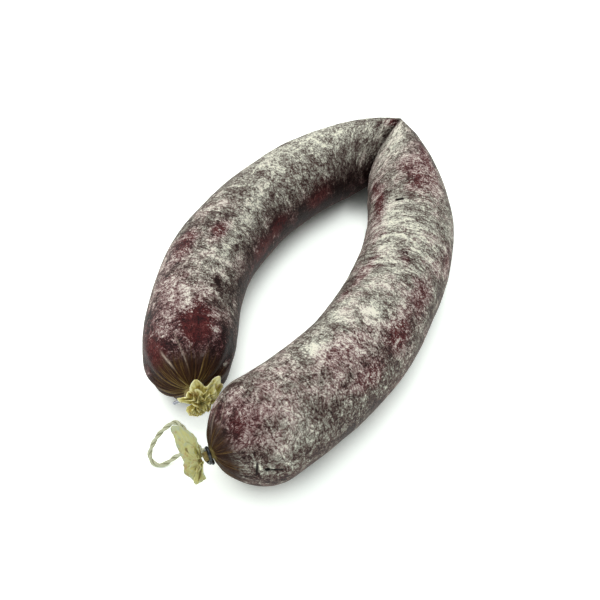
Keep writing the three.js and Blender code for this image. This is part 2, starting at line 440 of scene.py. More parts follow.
# Share of the full radius that is left at a station of the blunt cap
def capShare(arm, station):
    gathered = np.clip((station - arm["length"] + arm["cap"]) / arm["cap"], 0, 1)
    return (1 - gathered ** arm["power"]) ** arm["bluntness"]


# Share of the way up the pleats to the neck
def pleatShare(arm, station):
    return np.clip(1 - (arm["length"] - station) / arm["pleatRun"], 0, 1)


# Smooth skin of an arm: station along it from the fold, angle from the outer side over the top
def skinAt(arm, station, angle):
    shoulder = arm["length"] - arm["cap"]
    full = arm["midRadius"] + (arm["endRadius"] - arm["midRadius"]) * np.clip(station / shoulder, 0, 1)
    pinched = np.exp(-station / arm["pinch"])
    tapered = np.exp(-(station / form["foldOuterRun"]) ** form["foldOuterPower"])
    gathered = np.clip((station - shoulder) / arm["cap"], 0, 1)
    waves = sum(share * np.cos(count * angle + shift) for share, count, shift in form["pleatWaves"])
    relief = 1 + pleatShare(arm, station) ** 2 * form["pleatDepth"] * waves
    along = station / form["lumpRun"]
    lumps = sum(np.sin(pace * along + count * angle + shift * arm["outerSide"])
                for pace, count, shift in form["lumpWaves"])
    swelling = form["lump"] * lumps * (1 - pinched)
    groove = form["creaseDepth"] * np.exp(-station / form["creaseRun"]) * towardsCrease(angle)

    def section(radius):
        filled = radius + swelling - groove - form["neckRadius"]
        return (form["neckRadius"] + filled * capShare(arm, station)) * relief

    outerSide = full + (form["foldOuter"] - full) * tapered
    innerSide = full + (form["foldInner"] - full) * pinched
    across = section(np.where(np.cos(angle) > 0, outerSide, innerSide)) * np.cos(angle)
    upward = section(full + (form["foldHalfHeight"] - full) * pinched) * np.sin(angle)
    mitre = math.radians((form["right"]["heading"] - form["left"]["heading"]) / 2)
    lean = (1 - np.clip(station / form["foldTiltRun"], 0, 1)) / math.tan(mitre)
    x, y, heading = axisAt(arm, station - across * lean)
    lying = full - form["pressed"]
    height = lying + (form["foldAxisHeight"] - lying) * pinched + arm["lift"] * gathered ** 2
    side = across * arm["outerSide"]
    skin = [x + side * np.sin(heading), y - side * np.cos(heading), np.maximum(height + upward, 0)]
    return np.stack(skin, -1)


# What the casing carries.
# Patches are (station mm, angle in degrees, half length mm, half width mm, strength).
casing = {
    "around": 184,
    "topCrowding": 0.35,
    "ringStep": 0.0012,
    "capStep": 0.0006,
    "capCrowding": 3,
    "cutStep": 0.0004,
    "cutReach": 0.003,
    "ringSamples": 3000,
    "unrollRadius": 0.019,
    # Relief: (size, height, seed)
    "relief": {
        "broad": (0.024, 0.00045, 1),
        "dents": (0.009, 0.00022, 2),
        "net": (0.0034, 0.00014, 3),
        "hoops": (0.0019, 0.00016, 4),
    },
    "netMiddle": 0.35,
    "dentShow": 0.5,
    "hoopSqueeze": (1, 0.3, 0.3),
    "hoopedAll": 0.15,
    "pleatHeight": 0.0006,
    # Folds that run together at a neck, drawn at random within these spans
    "folds": {
        "count": 54,
        "jitter": 0.9,
        "reach": (0.2, 1.0),
        "bend": 0.2,
        "width": (0.00014, 0.00036),
        "strength": (0.3, 1.0),
        "fade": 0.7,
        "least": 0.2,
        "rise": (0.001, 0.007),
        "seed": {"left": 11, "right": 23},
        "show": {"left": 1.0, "right": 0.45},
    },
    # Distance from a neck where the gathers are full, and where they have faded out
    "gathers": {"left": (0.005, 0.023), "right": (0.003, 0.018)},
    "neckFade": (0.0002, 0.0025),
    # Painted shade towards the underside: the mould cover is lowered by the second value, in full where the
    # sine of the angle is below the low end of the range, not at all above its high end
    "belowFrom": (-0.35, 0.6),
    "shadeBelow": 0.24,
    "creaseCut": 0.0005,
    "creaseCutRun": 0.0008,
    "mould": {
        "left": [
            (40, 84, 32, 10, 0.27), (85, 92, 26, 12, 0.04), (97, 116, 14, 4, 0.18),
            (118, 124, 12, 3.4, 0.28), (139, 123, 9, 3, 0.38), (150, 98, 14, 9, 0.18),
            (175, 92, 6, 2.6, 0.42), (28, 138, 8, 3, 0.2),
            (187, 64, 2.6, 1.8, 0.22), (187, 132, 3, 1.6, 0.3), (196, 170, 1.4, 1.1, 0.9),
            # Painted shade: the negative patches at 150 to 186 degrees darken the inner side of the left
            # arm, partly also thinner mould, and the one at 190 mm and 26 degrees darkens the lower outer
            # rim of its end
            (190, 26, 18, 9, -0.5), (40, 186, 50, 11, -0.26), (125, 172, 44, 8, -0.24),
            (60, 160, 12, 4, -0.16), (56, 111, 16, 5, 0.12), (75, 182, 40, 9, -0.22),
            (72, 122, 18, 7, -0.06), (192, 150, 13, 9, -0.6), (159.7, 124, 2.6, 1.2, -0.9),
            (149, 158, 2.2, 1.6, -0.8), (187, 103, 6, 4.5, -0.3),
        ],
        "right": [
            (22, 108, 17, 9, 0.32), (83, 115, 17, 5, 0.34), (110, 106, 6, 4, 0.32), (88, 92, 3.2, 2.4, 0.4),
            (145, 79, 3.6, 2.2, 0.4), (122, 92, 24, 9, 0.16), (174, 98, 7, 4.4, 0.44),
            (156, 112, 3, 6, 0.26), (150, 118, 40, 3.6, 0.08), (200, 42, 8, 6, 0.18),
            # Painted shade: the patch at 190 mm and 4 degrees darkens the lower outer flank at the right
            # end
            (78, 28, 12, 6, 0.14), (190, 4, 34, 6, -0.1),
            (138, 40, 34, 9, 0.03), (150, 90, 18, 10, 0.2), (194, 76, 14, 15, 0.14), (10, 92, 8, 7, 0.2),
            (152, 118, 16, 5, 0.12), (95, 68, 24, 10, 0.09),
        ],
    },
    "barest": 1.5,
    "bare": {
        "left": [
            (185.5, 104, 8, 5.5, 1.5), (130, 102, 5, 3, 0.7), (141, 67, 7, 4, 0.9), (195, 46, 8, 7, 0.8),
            (117, 173, 9, 4, 0.7), (99, 166, 7, 3.4, 0.6), (3, 90, 6, 3, 0.7), (66, 176, 8, 4, 0.4),
        ],
        "right": [
            (68, 138, 10, 3.2, 0.7), (51, 150, 8, 3, 0.45), (82, 134, 8, 2, 0.35), (56, 84, 12, 5, 0.35),
            (47, 100, 4, 3, 0.3), (42, 58, 16, 3.6, 0.5), (145, 43, 7, 4.5, 0.7), (218, 128, 5, 9, 0.5),
            (165, 36, 8, 4, 0.45), (125, 43, 8, 4.5, 0.5), (168, 78, 11, 5, 0.3), (96, 24, 7, 4, 0.35),
            (215, 76, 6, 8, 0.42), (114, 78, 3.4, 2, 0.4), (121, 120, 12, 2.4, 0.35),
            (138, 126, 10, 2.4, 0.35),
        ],
    },
    # Pink in the dusting itself
    "blush": {
        "left": [(160, 62, 26, 12, 0.25), (190, 76, 13, 18, 0.6), (55, 102, 45, 22, -0.42)],
        "right": [
            (205, 66, 20, 18, 0.22), (164, 58, 22, 10, 0.16), (45, 82, 18, 8, 0.15), (85, 92, 24, 8, -0.2),
            # Painted shade: this patch takes the pink out of the lower outer flank at the right end, so its
            # painted shade is grey
            (190, 6, 36, 7, -0.5),
        ],
    },
    # Where the mottling runs round the arm in hoops
    "hooped": {
        "left": [],
        "right": [(100, 95, 34, 20, 1.0)],
    },
    # Where the mottling is calmer, or livelier below zero
    "calm": {
        "left": [(150, 100, 40, 20, -0.1)],
        "right": [(207, 64, 22, 22, 0.28)],
    },
    # Cuts and holes: (station mm, angle, half length mm, half width mm, lean from the arm's line, depth mm)
    "cuts": {
        "left": [],
        "right": [
            (72.4, 108, 1.9, 0.7, 90, 1.1), (212, 11.6, 0.8, 0.8, 0, 0.8), (209.5, 9.4, 2.8, 0.45, 17, 0.6),
            (214.7, 13.4, 4.4, 0.4, 98, 0.5), (218.5, -3.9, 3.3, 0.5, 156, 0.6),
        ],
    },
    # Pale streaks on the casing, written like the cuts, with a strength for the depth
    "streaks": {
        "left": [(197.9, 56.7, 3.7, 0.5, 24, 1.0), (195.8, 82.2, 6.0, 0.35, 18, 0.8)],
        "right": [
            (218.5, 121, 4.2, 0.4, -33, 0.6), (216, 108, 4, 0.35, -38, 0.5), (214, 134, 4, 0.35, -30, 0.5),
        ],
    },
}


# Distances in mm along and round an arm from a marked place
def fromMark(place, turn, station, angle):
    around = wrapped(angle - math.radians(turn)) * casing["unrollRadius"]
    return station / mm - place, around / mm


def patchSum(patches, station, angle):
    total = np.zeros(np.shape(station))
    for place, turn, halfLength, halfWidth, strength in patches:
        along, across = fromMark(place, turn, station, angle)
        total += strength * np.exp(-(along / halfLength) ** 2 - (across / halfWidth) ** 2)
    return total


def strokes(marks, station, angle):
    total = np.zeros(np.shape(station))
    for place, turn, halfLength, halfWidth, lean, strength in marks:
        along, across = fromMark(place, turn, station, angle)
        cosine, sine = math.cos(math.radians(lean)), math.sin(math.radians(lean))
        lengthwise = (along * cosine + across * sine) / halfLength
        sideways = (across * cosine - along * sine) / halfWidth
        total = np.maximum(total, strength * np.exp(-lengthwise ** 4 - sideways ** 2))
    return total


# Folds of casing that run together at a neck, of uneven length and strength
def gatherFolds(side, fromNeck, radial, angle):
    plan = casing["folds"]
    draw = np.random.default_rng(plan["seed"][side])
    folds = np.zeros(np.shape(angle))
    for k in range(plan["count"]):
        middle = (k + draw.uniform(-plan["jitter"], plan["jitter"])) * fullTurn / plan["count"]
        reach = form[side]["pleatRun"] * draw.uniform(*plan["reach"])
        bend = draw.uniform(-plan["bend"], plan["bend"])
        width = draw.uniform(*plan["width"])
        strength = draw.uniform(*plan["strength"])
        away = np.clip(fromNeck / reach, 0, 1)
        turned = wrapped(angle - middle - bend * away)
        crest = strength * np.exp(-(turned * radial / width) ** 2)
        folds = np.maximum(folds, crest * (1 - away) ** plan["fade"])
    return folds * plan["show"][side]


# Stations of the rings, closer together on the cap and at fine cuts
def ringStations(arm, cuts):
    shoulder, samples = arm["length"] - arm["cap"], casing["ringSamples"]
    onCap = arm["length"] - arm["cap"] * np.linspace(1, 0, samples)[1:] ** casing["capCrowding"]
    run = np.append(np.linspace(0, shoulder, samples), onCap)
    spacing = np.where(run > shoulder, casing["capStep"], casing["ringStep"])
    for cut in cuts:
        near = np.abs(run - cut[0] * mm) < casing["cutReach"]
        spacing = np.where(near, np.minimum(spacing, casing["cutStep"]), spacing)
    steps = np.hypot(np.diff(run), np.diff(arm["endRadius"] * capShare(arm, run)))
    rings = np.append(0, np.cumsum(steps / spacing[1:]))
    even = np.interp(np.linspace(0, rings[-1], round(rings[-1]) + 1), rings, run)
    return np.append(even, arm["length"] + form["neckLength"])


def reliefOf(name, places):
    size, height, seed = casing["relief"][name]
    return noiseOf(places, size, seed) * height


# Detailed skin of an arm, with what its finish reads
def armSkin(side):
    arm, cuts, plan = form[side], casing["cuts"][side], casing["folds"]
    turn = evenTurn(casing["around"])
    turn = turn + casing["topCrowding"] * np.sin(turn) - math.pi / 2  # closer together on top
    station, angle = np.meshgrid(ringStations(arm, cuts), turn, indexing="ij")
    smooth = skinAt(arm, station, angle)
    outward = np.cross(np.gradient(smooth, axis=1), np.gradient(smooth, axis=0)) * -arm["outerSide"]
    tiny = 1e-12  # no division by zero where points fall together
    outward = outward / np.maximum(np.linalg.norm(outward, axis=-1, keepdims=True), tiny)

    radius = casing["unrollRadius"]
    unrolled = np.stack([-arm["outerSide"] * station, radius * np.cos(angle), radius * np.sin(angle)], -1)
    free = 1 - pleatShare(arm, station) ** 2
    radial = form["neckRadius"] + (arm["endRadius"] - form["neckRadius"]) * capShare(arm, station)
    fromNeck = np.hypot(np.maximum(arm["length"] - station, 0), radial - form["neckRadius"])
    patched = {}
    for kind in ("mould", "bare", "blush", "hooped", "calm"):
        patched[kind] = patchSum(casing[kind][side], station, angle)
    hooped = np.clip(patched["hooped"] + casing["hoopedAll"], 0, 1)
    # Crease at the fold: cut a little into the skin, and painted shade in the finish
    crease = np.exp(-station / casing["creaseCutRun"]) * towardsCrease(angle)
    # Painted shade: share of the way towards the underside, where the mould cover is lowered
    below = 1 - smoothStep(*casing["belowFrom"], np.sin(angle))

    broad, dents = reliefOf("broad", unrolled), reliefOf("dents", unrolled)
    netHeight = casing["relief"]["net"][1]
    net = casing["netMiddle"] * netHeight - np.abs(reliefOf("net", unrolled))
    hoops = reliefOf("hoops", unrolled * casing["hoopSqueeze"]) * hooped
    folds = gatherFolds(side, fromNeck, radial, angle)
    raised = plan["least"] + (1 - plan["least"]) * smoothStep(*plan["rise"], fromNeck)
    cut = strokes(cuts, station, angle)
    height = (broad + dents + net + hoops) * free + folds * casing["pleatHeight"] * raised
    height = height - cut * mm - casing["creaseCut"] * crease
    points = smooth + outward * height[..., None]
    points[..., 2] = np.maximum(points[..., 2], 0)
    values = {
        "skinPlace": unrolled,
        "mould": patched["mould"] - casing["shadeBelow"] * below,
        "bare": np.clip(patched["bare"], 0, casing["barest"]),
        "blush": patched["blush"],
        "gather": 1 - smoothStep(*casing["gathers"][side], fromNeck),
        "neck": 1 - smoothStep(*casing["neckFade"], fromNeck),
        "folds": folds,
        "streak": strokes(casing["streaks"][side], station, angle),
        "hooped": hooped,
        "calm": patched["calm"],
        "relief": (net + hoops + dents * casing["dentShow"]) / netHeight * free,
        "cut": cut,
        "crease": crease,
    }
    return points, values


# Arms laid side by side on the texture sheet, with the seam under the sausage
def layTexture(mesh, leftRings, rings):
    around, half, margin = casing["around"], 0.5, 0.01
    layer = mesh.uv_layers.new(name="OFBake")
    corner = np.empty(len(mesh.loops), np.int32)
    mesh.loops.foreach_get("vertex_index", corner)
    sizes = np.empty(len(mesh.polygons), np.int32)
    mesh.polygons.foreach_get("loop_total", sizes)
    ring = np.minimum(corner // around, rings - 1).astype(float)
    step = (corner % around).astype(float)
    ring[corner == rings * around] = 0  # the end point of the left neck
    owner = np.repeat(np.arange(len(sizes)), sizes)
    widest = np.zeros(len(sizes))
    np.maximum.at(widest, owner, step)
    step = np.where((step == 0) & (widest[owner] == around - 1), around, step)
    lowest = np.full(len(sizes), np.inf)
    np.minimum.at(lowest, owner, ring)
    onLeft = lowest[owner] < leftRings - 1
    along = np.where(onLeft, ring / (leftRings - 1), (ring - leftRings + 1) / (rings - leftRings))
    u = margin + (1 - 2 * margin) * along
    v = np.where(onLeft, 0, half) + margin + (half - 2 * margin) * step / around
    layer.data.foreach_set("uv", np.stack([u, v], -1).astype(np.float32).ravel())


# Dark wine-red casing under a dusting of grey to cream mould
dusting = {
    # Noises: (size, or sizes along and across the arm; detail, roughness, twist)
    "noise": {
        "speck": (0.009, 5, 1.0),
        "hoop": ((0.0045, 0.014, 0.014), 5, 1.0),
        "grain": (0.0006, 1, 0.8),
        "drift": (0.03, 2, 0.5),
        "winding": ((0.0026, 0.004, 0.004), 2, 0.6, 1.4),
        "strands": ((0.0011, 0.011, 0.011), 2, 0.6, 0.4),
        "tint": (0.009, 4, 0.7),
        "lines": ((0.012, 0.001, 0.001), 3, 0.8),
    },
    # Sums of noises and of what the casing carries, each with its weight
    "mottle": {"evenSpeck": 3.4, "hoopSpeck": 3.4, "grain": 0.9},
    "cover": {
        "mean": 0.58, "mould": 1.0, "mottle": 1.0, "drift": 0.5, "relief": 0.06, "bare": -0.25,
        "wrinkle": -0.3, "hair": 0.24,
    },
    "pinkness": {"mean": 0.42, "tint": 1.6, "drift": 0.5, "bare": 0.6, "blush": 1.0},
    "wineShade": {"mean": 0.45, "mottle": 1.0, "drift": 0.3},
    "ruddy": {"mean": 0.05, "bare": 1.0, "drift": 0.9},
    "crest": {"mean": 0.18, "folds": 0.75, "lines": 1.9, "gather": 0.1, "neck": 0.5},
    "gathering": {"gather": 1.0, "speck": 0.6, "lines": 0.5},
    "streaking": {"mean": 0.6, "mottle": 1.0},
    "darkCutsAndCreaseShade": {"opened": 1.0, "crease": 0.5},
    "bumps": {"mottle": 1.0, "lines": 0.4, "wrinkle": -0.5, "hair": 0.3},
    # Where each of them sets in, and where it is full
    "wrinkleFrom": (0.0, 0.1),
    "hairFrom": (0.1, 0.22),
    "pinkFrom": (0.3, 0.75),
    "wineFrom": (0.0, 0.6),
    "thinFrom": (0.25, 0.7),
    "gatherFrom": (0.1, 0.8),
    "cutFrom": (0.1, 0.45),
    "grey": [
        (0.0, (28, 12, 11)), (0.16, (59, 39, 37)), (0.32, (90, 75, 70)), (0.5, (120, 114, 106)),
        (0.68, (155, 153, 143)), (0.85, (198, 197, 184)), (1.0, (229, 227, 209)),
    ],
    "pink": [
        (0.0, (28, 9, 10)), (0.16, (60, 30, 31)), (0.32, (96, 64, 65)), (0.5, (133, 109, 107)),
        (0.68, (168, 150, 146)), (0.85, (201, 191, 182)), (1.0, (225, 219, 207)),
    ],
    "wine": [(0.0, (22, 4, 6)), (0.45, (72, 19, 21)), (0.75, (102, 51, 49)), (1.0, (160, 128, 118))],
    "gathers": [(0.0, (24, 10, 6)), (0.35, (55, 31, 19)), (0.7, (104, 81, 43)), (1.0, (176, 157, 100))],
    "streak": (186, 168, 154),
    "inside": (18, 11, 10),
    "dryness": {"From Min": 0.1, "From Max": 0.6, "To Min": 0.5, "To Max": 0.92},
    "gloss": 0.12,
    "bump": (0.6, 0.0004),
}


def mouldyFinish():
    finish, tree, surface = newFinish("mouldyCasing")
    parts = clouds(tree, readPlace(tree, "skinPlace"), dusting["noise"])
    parts |= readValues(tree, "mould", "bare", "blush", "hooped", "calm", "relief")
    parts |= readValues(tree, "gather", "neck", "folds", "streak", "cut", "crease")

    def total(name):
        return weighted(tree, parts, dusting[name])

    def ramp(name, value):
        return colourRamp(tree, value, dusting[name])

    def setsIn(name, value):
        return between(tree, value, *dusting[name])

    parts["evenSpeck"] = reckon(tree, "MULTIPLY", parts["speck"], oneMinus(tree, parts["hooped"]))
    parts["hoopSpeck"] = reckon(tree, "MULTIPLY", parts["hoop"], parts["hooped"])
    parts["mottle"] = reckon(tree, "MULTIPLY", total("mottle"), oneMinus(tree, parts["calm"]))

    # Fine winding wrinkles, dark where the dusting has not reached, and pale hairs of mould
    toWrinkle = reckon(tree, "ABSOLUTE", parts["winding"])
    parts["wrinkle"] = oneMinus(tree, setsIn("wrinkleFrom", toWrinkle))
    parts["hair"] = setsIn("hairFrom", parts["strands"])
    cover = total("cover")
    pinkShare = setsIn("pinkFrom", total("pinkness"))
    dusted = mixColour(tree, pinkShare, ramp("grey", cover), ramp("pink", cover))

    # Bare casing shows wine red where the dusting is thin
    thin = oneMinus(tree, setsIn("thinFrom", cover))
    wineShare = reckon(tree, "MULTIPLY", setsIn("wineFrom", total("ruddy")), thin, use_clamp=True)
    skin = mixColour(tree, wineShare, dusted, ramp("wine", total("wineShade")))

    # Gathered ends: dark wine brown between thin yellow-brown folds, and a few pale streaks
    gatherShare = setsIn("gatherFrom", total("gathering"))
    skin = mixColour(tree, gatherShare, skin, ramp("gathers", total("crest")))
    streakShare = reckon(tree, "MULTIPLY", parts["streak"], total("streaking"), use_clamp=True)
    skin = mixColour(tree, streakShare, skin, tone(*dusting["streak"]))

    # Dark inside of the cuts, partly painted shade, and painted shade in the crease at the fold
    parts["opened"] = setsIn("cutFrom", parts["cut"])
    darkCutsAndCreaseShare = reckon(tree, "MINIMUM", total("darkCutsAndCreaseShade"), 1.0)
    skin = mixColour(tree, darkCutsAndCreaseShare, skin, tone(*dusting["inside"]))

    dryness = addNode(tree, "ShaderNodeMapRange", {"Value": cover, **dusting["dryness"]})
    feed(tree, surface, {
        "Base Color": skin,
        "Roughness": dryness.outputs["Result"],
        "Specular IOR Level": dusting["gloss"],
        "Normal": bumpOf(tree, total("bumps"), *dusting["bump"]),
    })
    return finish


def makeSausage():
    left, leftValues = armSkin("left")
    right, rightValues = armSkin("right")
    rings = np.concatenate([left[::-1], right[1:]])
    points, faces = closedRings(rings)
    values = {}
    for key in leftValues:
        values[key] = withEnds(np.concatenate([leftValues[key][::-1], rightValues[key][1:]]))
    piece = makeMesh("sausageSkin", points, faces, values)
    layTexture(piece.data, len(left), len(rings))
    dress(piece, mouldyFinish(), "cured_casing", "sausage")
    print(f"sausage made: {len(rings)} rings, {len(faces)} faces")


makeSausage()


# Clips: bent wire with a leg that comes in from outside the loop and a little over one turn round the neck
clips = {
    "wire": 0.0013,
    "pitch": 0.0015,
    "turns": 1.15,
    "turnPoints": 15,
    "start": -75,
    "legs": {"left": 0.009, "right": 0.003},
    "sides": 16,
    "step": 0.00025,
    "endRun": 0.0004,  # the wire's ends are rounded over this run, down to the least share
    "endLeast": 0.1,
    "dentSize": 0.0016,
    "dentDepth": 0.00006,
    "dentSeed": 5,
    "grainRadius": 0.0006,
    "noise": {"drawn": ((0.006, 0.0002, 0.0002), 3, 0.6), "dull": (0.0015, 3, 0.6)},
    "shade": {"mean": 0.5, "drawn": 0.5, "dull": 0.8},
    "roughness": {"mean": 0.3, "dull": 0.35, "film": 0.3},
    "bump": (0.3, 0.00008),
    "colours": {
        "left": [(0.0, (110, 112, 122)), (0.5, (168, 170, 180)), (1.0, (214, 215, 222))],
        # The right wire is the same metal as the left, in darker colours: painted shade and painted dark
        # reflections
        "right": [(0.0, (16, 16, 18)), (0.5, (52, 54, 57)), (1.0, (140, 142, 146))],
    },
    # Dry casing stuck to the wire from this distance on
    "filmFrom": {"left": 0.009, "right": 0.03},
    "filmFade": 0.001,
    "film": (132, 115, 64),
}


def wireFinish(side):
    finish, tree, surface = newFinish("clipWire" + side.capitalize())
    place = readPlace(tree, "wirePlace")
    parts = clouds(tree, place, clips["noise"])
    run = addNode(tree, "ShaderNodeSeparateXYZ", {"Vector": place}).outputs["X"]
    start, fade = clips["filmFrom"][side], clips["filmFade"]
    parts["film"] = between(tree, run, start - fade, start + fade)
    metal = colourRamp(tree, weighted(tree, parts, clips["shade"]), clips["colours"][side])
    feed(tree, surface, {
        "Base Color": mixColour(tree, parts["film"], metal, tone(*clips["film"])),
        "Metallic": oneMinus(tree, parts["film"]),
        "Roughness": weighted(tree, parts, clips["roughness"]),
        "Normal": bumpOf(tree, parts["drawn"], *clips["bump"]),
    })
    return finish


def clipRoute(arm, leg):
    middle, along, inward, up = neckFrame(arm, form["neckLength"] / 2)
    coil = form["neckRadius"] * (1 + form["pleatDepth"]) + form["gap"] + clips["wire"] / 2
    first = math.radians(clips["start"])
    shift = -clips["turns"] * clips["pitch"] / 2
    points = []
    for run in (leg, leg / 2):
        sideways = coil * math.cos(first) + run * math.sin(first)
        height = coil * math.sin(first) - run * math.cos(first)
        points.append(middle + inward * sideways + up * height + along * shift)
    for turned in np.linspace(0, clips["turns"], clips["turnPoints"]):
        angle = first + fullTurn * turned
        ring = inward * coil * math.cos(angle) + up * coil * math.sin(angle)
        points.append(middle + ring + along * (shift + clips["pitch"] * turned))
    return points


def makeClip(side):
    line = smoothRoute(clipRoute(form[side], clips["legs"][side]), clips["step"])
    run = np.arange(len(line)) * clips["step"]
    toEnd = np.minimum(run, run[-1] - run)
    blunt = np.sqrt(np.clip(toEnd / clips["endRun"], clips["endLeast"], 1))
    rings = tubeRings(line, clips["wire"] / 2 * blunt, clips["sides"])
    dents = noiseOf(rings, clips["dentSize"], clips["dentSeed"])
    rings = rings + dents[..., None] * clips["dentDepth"]
    places = withEnds(straightened(run, evenTurn(clips["sides"]), clips["grainRadius"]))
    points, faces = closedRings(rings)
    piece = makeMesh("wire" + side.capitalize(), points, faces, {"wirePlace": places})
    dress(piece, wireFinish(side), "clip_wire", "clip_" + side)


for side in bothSides:
    makeClip(side)
print("clips bent")


# Tails of dry casing past the clips: a stem out of the neck, then ruffled sheets that fan out of it.
# Their lobes are (angle, width in degrees, reach), added to the reach of the whole sheet.
# Their layers are (share of the reach, shift forward), the outer sheet first, then the folds inside it.
tails = {
    "left": {
        "piece": "tuftLeft", "seed": 31,
        "from": -174, "to": 174, "tilt": 20, "stem": 0.0022, "lean": 0.0023, "opening": 1.1,
        "depth": 0.0016, "ruffle": 0.0009, "ruffles": 7, "reach": 0.004,
        "lobes": [
            (38, 25, 0.0066), (98, 23, 0.0064), (54, 9, 0.0044), (138, 16, 0.0028), (154, 8, 0.0046),
            (-135, 28, 0.0022), (-168, 16, 0.0016),
        ],
        "layers": [(1.0, 0.0), (0.68, 0.0009), (0.4, 0.0016)],
        "crumple": 0.0016, "columns": 200, "rows": 44,
        "colours": [
            (0.0, (110, 90, 35)), (0.24, (176, 160, 84)), (0.48, (216, 206, 128)), (1.0, (241, 235, 184)),
        ],
    },
    "right": {
        "piece": "fanRight", "seed": 47,
        "from": -176, "to": 64, "tilt": 28, "stem": 0.0008, "lean": -0.001, "opening": 1,
        "depth": 0.0009, "ruffle": 0.0008, "ruffles": 6, "reach": 0.0046,
        "lobes": [
            (-7, 25, 0.0128), (-66, 56, 0.0046), (-140, 34, 0.0016), (-32, 14, 0.0015), (27, 17, 0.0022),
        ],
        "layers": [(1.0, 0.0), (0.5, 0.0008)],
        "crumple": 0.0007, "columns": 140, "rows": 60,
        "colours": [
            (0.0, (114, 100, 47)), (0.3, (176, 171, 103)), (0.6, (170, 170, 116)), (1.0, (156, 162, 132)),
        ],
    },
    "casing": 0.0008,
    "stemShare": 0.12,
    "film": 0.00035,
    "lowest": 0.0004,
    "layerPhase": 2,
    "layerSeed": 5,
    "layerShift": 0.02,
    "ruffleTwist": 2,
    # The ragged edge, with the radius and run on which its noise is read
    "ragged": 0.1,
    "raggedSize": 0.0022,
    "edgeRadius": 0.01,
    "edgeRun": 0.004,
    # Creases: (size, weight); the pleats are drawn out from the neck
    "creaseMiddle": 0.5,
    "buckles": (0.0034, 0.7),
    "dents": (0.0016, 0.25),
    "pleats": (0.0016, 1.0),
    "finePleats": (0.0007, 0.5),
    "pleatDraw": (1, 0.22, 1),
    "foldedRadius": 0.008,
    "rimFrom": (0.8, 1.0),
    "noise": {
        "veins": ((0.0012, 0.004, 0.0012), 4, 0.65),
        "blotch": (0.004, 3, 0.6),
        "stain": (0.003, 2, 0.6),
    },
    "fanNoise": {"ribs": ((0.0007, 0.009, 1.0), 3, 0.7)},
    # Painted shade: the hollows of the crumpled sheets come out darker
    "shade": {
        "mean": 0.22, "span": 0.45, "veins": 0.7, "ribs": 1.3, "blotch": 0.5, "hollowShade": -0.7, "rim": 0.35,
    },
    "ridges": {"veins": 0.6, "ribs": 1.0},
    "bump": (0.8, 0.0004),
    "stainFrom": (0.05, 0.2),
    "stainShare": 0.6,
    "amber": (150, 108, 52),
    "roughness": 0.5,
    "seeThrough": 0.35,
    "seeThroughTint": (1.0, 0.9, 0.5),
    "seeThroughDepth": 0.0012,
}


def lobe(angle, middle, width):
    return np.exp(-((angle - math.radians(middle)) / math.radians(width)) ** 2)


def tailReach(tail, angle):
    return tail["reach"] + sum(size * lobe(angle, middle, width) for middle, width, size in tail["lobes"])


def casingFinish(tail):
    finish, tree, surface = newFinish(tail["piece"] + "Casing")
    parts = clouds(tree, readPlace(tree, "sheetPlace"), tails["noise"])
    parts |= clouds(tree, readPlace(tree, "fanPlace"), tails["fanNoise"])
    parts |= readValues(tree, "span", "hollowShade", "rim")
    stained = between(tree, parts["stain"], *tails["stainFrom"])
    stained = reckon(tree, "MULTIPLY", stained, tails["stainShare"])
    dry = colourRamp(tree, weighted(tree, parts, tails["shade"]), tail["colours"])
    feed(tree, surface, {
        "Base Color": mixColour(tree, stained, dry, tone(*tails["amber"])),
        "Roughness": tails["roughness"],
        "Subsurface Weight": tails["seeThrough"],
        "Subsurface Radius": tails["seeThroughTint"],
        "Subsurface Scale": tails["seeThroughDepth"],
        "Normal": bumpOf(tree, weighted(tree, parts, tails["ridges"]), *tails["bump"]),
    })
    return finish


def creasesOf(name, places, seed):
    size, weight = tails[name]
    return noiseOf(places, size, seed) * weight


